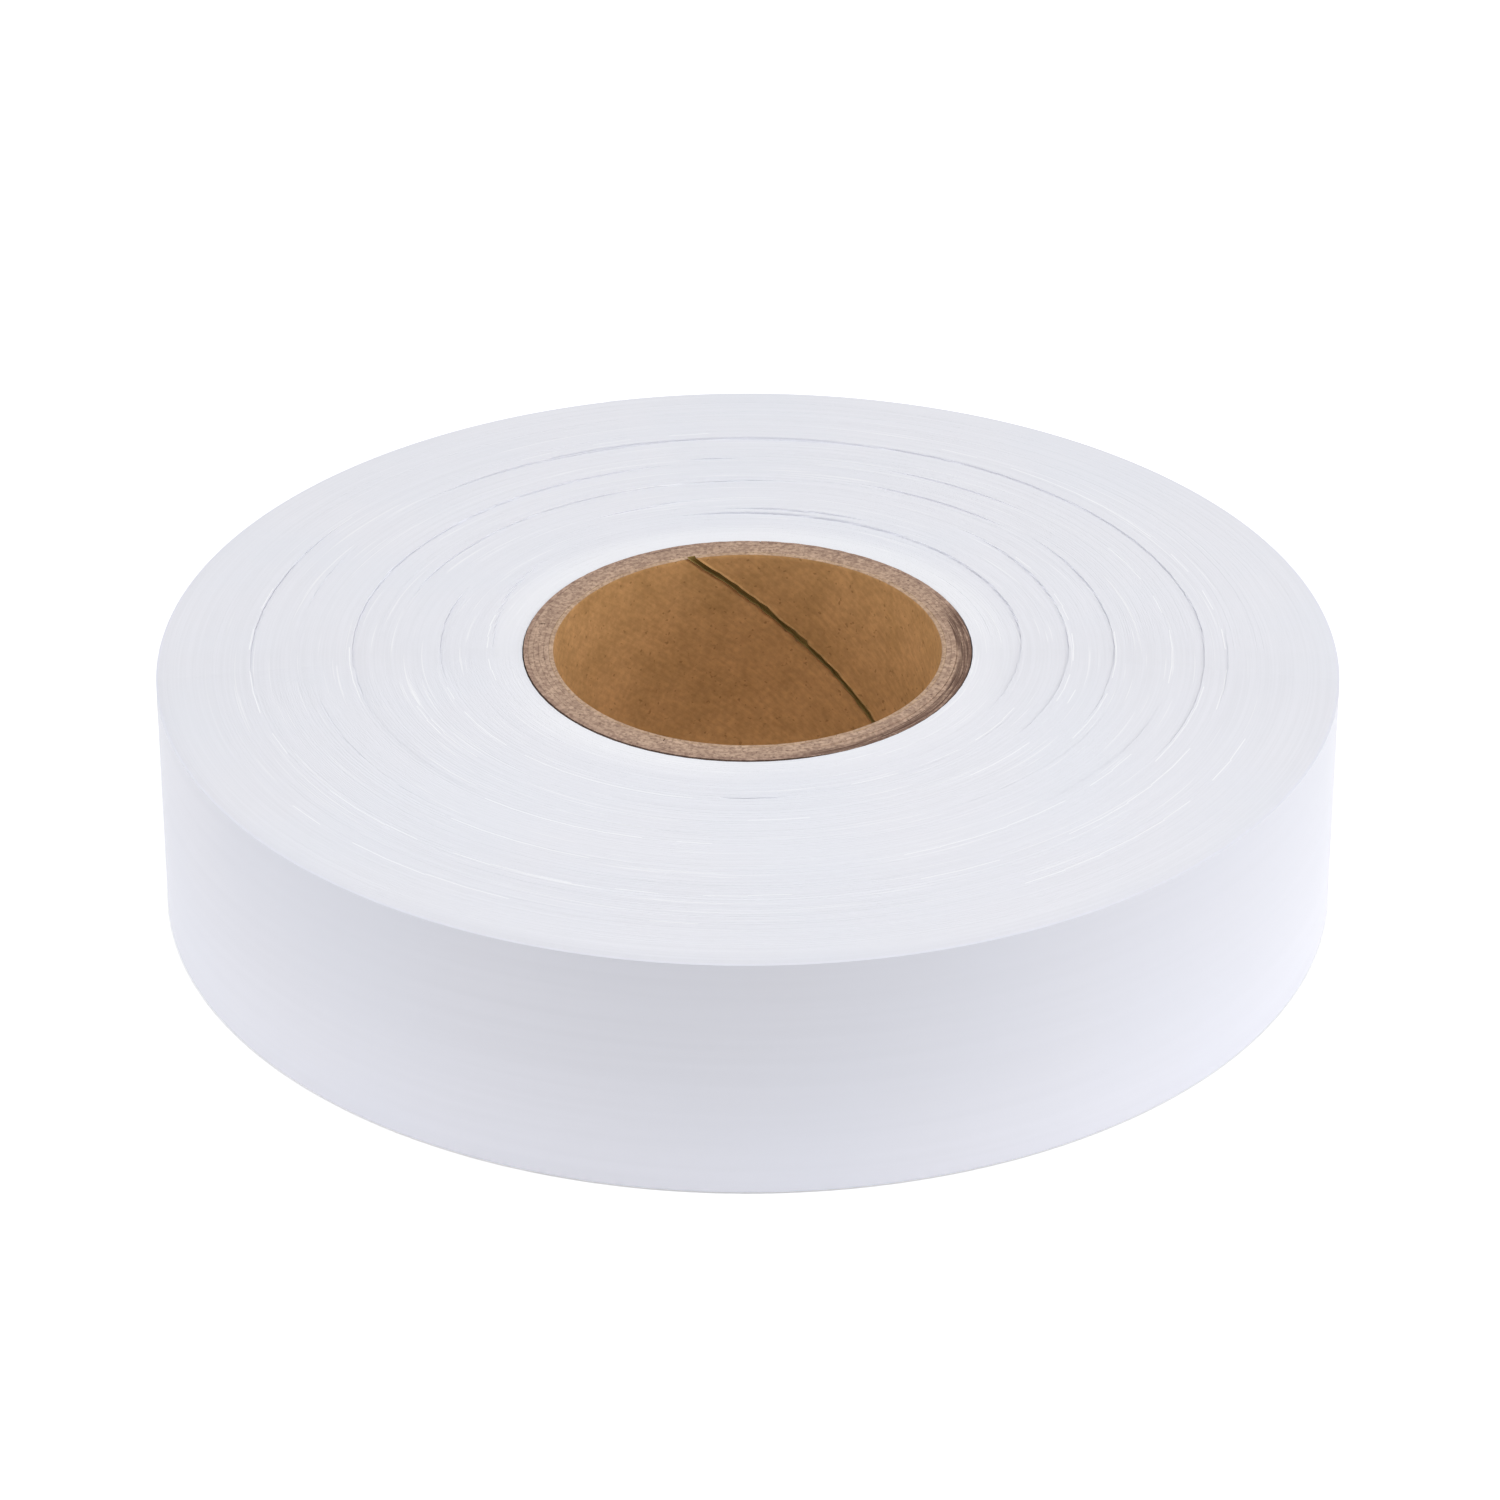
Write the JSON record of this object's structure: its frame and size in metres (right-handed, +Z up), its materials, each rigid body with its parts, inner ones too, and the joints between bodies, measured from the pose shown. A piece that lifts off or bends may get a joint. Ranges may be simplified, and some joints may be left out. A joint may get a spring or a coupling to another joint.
{
  "type": "flagging tape roll",
  "caption": "Roll of white non-adhesive flagging film wound on a spiral-wound paper core, with a free end that peels off.",
  "frame": {"origin": "where the roll's axis meets the surface that it lies on, at the lower end of the core", "axes": "+Z up along the roll's axis, +X to the right and +Y away as the picture shows it; the free end lies at the back, around +Y"},
  "size_m": [0.1198, 0.1203, 0.0267],
  "materials": {
    "film": "satin white plastic film",
    "kraft_liner": "matt brown kraft paper",
    "chipboard": "matt grey-brown chipboard with cut edges",
    "core_cover_paper": "matt brown paper",
    "dried_glue": "dried glue"
  },
  "bodies": {
    "roll": {"core_liner": "kraft_liner", "core_ply_1": "chipboard", "core_ply_2": "chipboard", "core_ply_3": "chipboard", "core_ply_4": "chipboard", "core_cover": "core_cover_paper", "pickup_glue": "dried_glue", "wound_tape": "film"},
    "tail": {"tape_tail": "film"}
  },
  "joints": [
    {"name": "tail_peel", "type": "hinge", "parent": "roll", "child": "tail", "pos_m": [0.04056, 0.04492, 0.0131], "axis": [0, 0, -1], "range_deg": [0, 120]}
  ]
}
